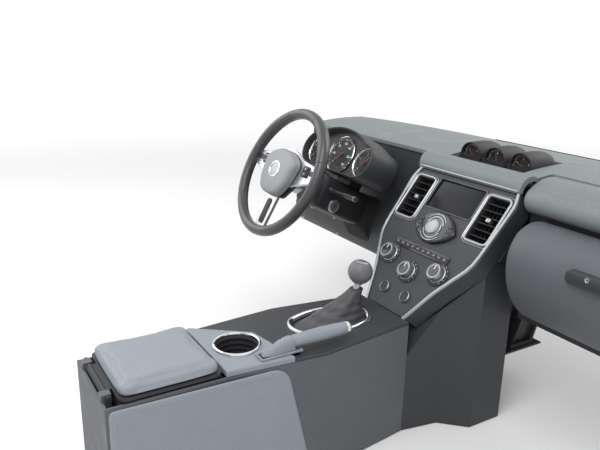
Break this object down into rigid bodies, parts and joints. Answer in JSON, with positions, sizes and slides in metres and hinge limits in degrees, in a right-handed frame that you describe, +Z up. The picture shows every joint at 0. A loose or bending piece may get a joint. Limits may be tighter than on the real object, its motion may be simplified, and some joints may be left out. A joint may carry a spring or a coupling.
{
  "type": "roadster cockpit module",
  "caption": "Left-hand-drive car cockpit: dashboard on its cross beam, centre stack, console, steering column and wheel.",
  "frame": {"origin": "centre of the bolt pattern of the two feet, on top of the car's tunnel", "axes": "+X towards the passenger's side, +Y towards the car's nose, +Z up"},
  "size_m": [1.402, 1.235, 0.6422],
  "materials": {
    "structure_steel": "black dip-painted pressed steel",
    "duct_plastic": "black moulded polypropylene",
    "dash_skin": "soft grained dark grey skin",
    "panel_charcoal": "grained charcoal plastic",
    "panel_black": "grained black plastic",
    "silver_paint": "satin silver trim",
    "chrome": "bright chrome",
    "screen_gloss": "dark gloss screen",
    "dial_face": "black dials with plain numbers",
    "leather_dark": "dark leather with stitching",
    "leather_light": "light blue-grey leather",
    "shaft_steel": "machined steel"
  },
  "bodies": {
    "dash": {"cross_beam": "structure_steel", "beam_end_plates": "structure_steel", "tunnel_braces": "structure_steel", "column_bracket": "structure_steel", "stack_carrier": "structure_steel", "heater_unit": "duct_plastic", "blower_housing": "duct_plastic", "centre_duct": "duct_plastic", "side_ducts": "duct_plastic", "dash_top": "dash_skin", "windscreen_grille": "panel_black", "gauge_pods": "panel_black", "pod_dials": "dial_face", "passenger_roll": "dash_skin", "driver_panel": "panel_black", "passenger_panel": "panel_black", "glovebox_bin": "duct_plastic", "side_vents": "panel_black", "stack_face": "panel_charcoal", "screen": "screen_gloss", "centre_vents": "panel_black", "centre_vent_slats": "panel_black", "audio_control": "panel_charcoal", "radio_band": "panel_black", "climate_knobs": "silver_paint", "stack_sockets": "silver_paint", "stack_trims": "silver_paint", "stack_sides": "panel_charcoal", "console_body": "panel_charcoal", "console_plate": "panel_black", "shift_ring": "chrome", "shift_gaiter": "leather_dark", "lever_bracket": "structure_steel", "cup_holder": "chrome", "console_bin": "duct_plastic", "handbrake_mount": "structure_steel", "dash_ends": "panel_charcoal", "console_cap": "leather_light", "console_switch": "silver_paint", "handbrake_collar": "leather_light"},
    "column": {"column_jacket": "structure_steel", "column_shroud": "panel_black", "column_stalks": "panel_black", "cluster_housing": "panel_black", "cluster_dials": "dial_face"},
    "steering": {"steering_shaft": "shaft_steel", "wheel_rim": "leather_dark", "wheel_spokes": "silver_paint", "airbag_cover": "panel_charcoal", "wheel_switches": "panel_black"},
    "glovebox_door": {"glovebox_lid": "panel_charcoal", "glovebox_handle": "silver_paint"},
    "armrest": {"armrest_base": "panel_black", "armrest_pad": "leather_light"},
    "handbrake": {"handbrake_lever": "structure_steel", "handbrake_grip": "leather_light"},
    "shifter": {"gear_lever": "shaft_steel", "gear_knob": "leather_dark"}
  },
  "joints": [
    {"name": "column_tilt", "type": "hinge", "parent": "dash", "child": "column", "pos_m": [-0.366, 0.12441, 0.09828], "axis": [1, 0, 0], "range_deg": [-2.5, 2.5]},
    {"name": "steering_turn", "type": "hinge", "parent": "column", "child": "steering", "pos_m": [-0.366, -0.336, 0.34], "axis": [0, -0.8854, 0.4648], "range_deg": [-485, 485]},
    {"name": "glovebox_open", "type": "hinge", "parent": "dash", "child": "glovebox_door", "pos_m": [0.383, -0.078, 0.142], "axis": [1, 0, 0], "range_deg": [0, 60]},
    {"name": "armrest_open", "type": "hinge", "parent": "dash", "child": "armrest", "pos_m": [0, -0.898, 0.108], "axis": [1, 0, 0], "range_deg": [0, 75]},
    {"name": "handbrake_pull", "type": "hinge", "parent": "dash", "child": "handbrake", "pos_m": [0.081, -0.612, 0.066], "axis": [1, 0, 0], "range_deg": [0, 28]},
    {"name": "gear_shift", "type": "hinge", "parent": "dash", "child": "shifter", "pos_m": [0, -0.392, 0.03], "axis": [1, 0, 0], "range_deg": [-10, 10], "deforming": ["shift_gaiter"]}
  ]
}
